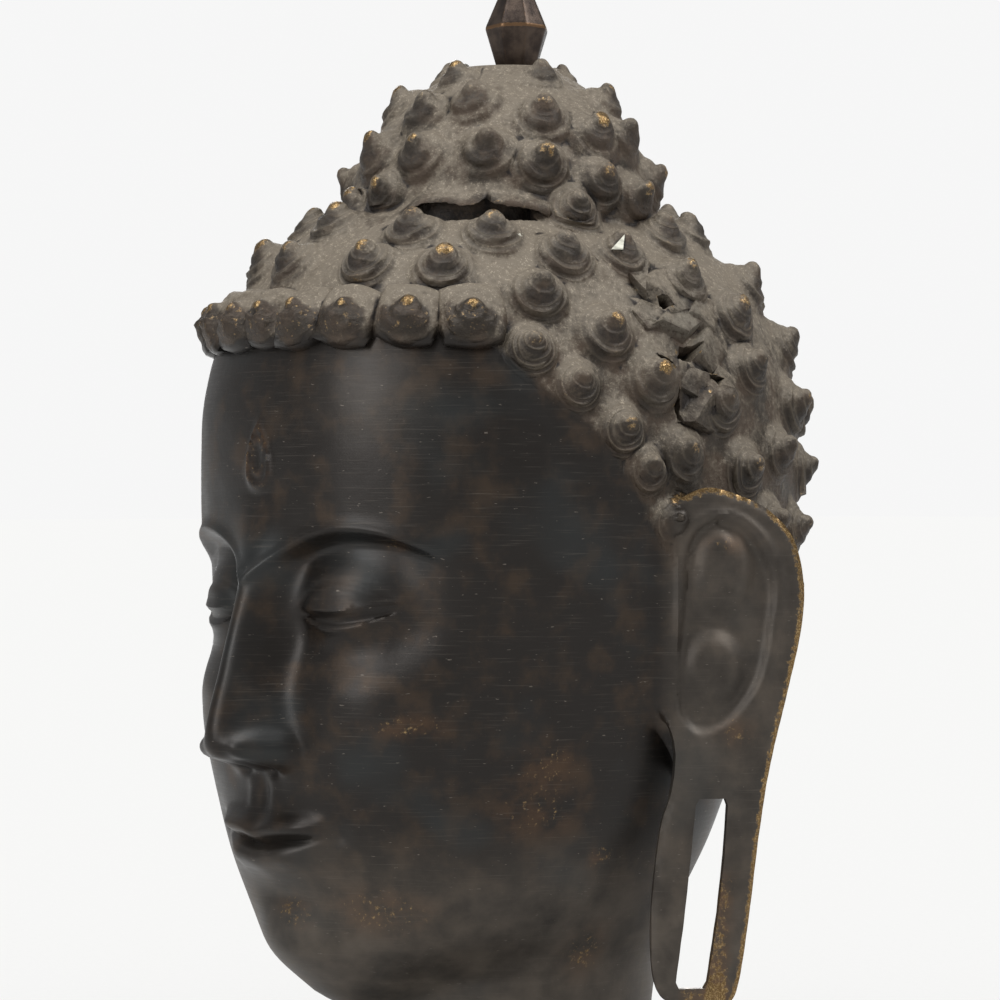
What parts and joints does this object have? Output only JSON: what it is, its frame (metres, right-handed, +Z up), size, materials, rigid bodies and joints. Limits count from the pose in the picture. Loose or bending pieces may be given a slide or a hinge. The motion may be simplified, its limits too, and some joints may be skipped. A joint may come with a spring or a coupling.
{
  "type": "buddha head",
  "caption": "Life-size patinated bronze Buddha head with snail-shell curls, long slit earlobes and a small pointed finial, cut flat below the neck",
  "frame": {"origin": "centre of the neck's flat underside", "axes": "+Z up, the face looks along -Y, the head's left ear is at +X"},
  "size_m": [0.1982, 0.205, 0.342],
  "materials": {
    "dark_patinated_bronze": "dark brown-black patina, satin on the face, dusty in the curls, rubbed to brass on tips and rims",
    "smooth_brown_bronze": "smooth dark brown patina, a little worn at the belt"
  },
  "bodies": {
    "root": {"head": "dark_patinated_bronze", "finial": "smooth_brown_bronze"}
  },
  "joints": []
}
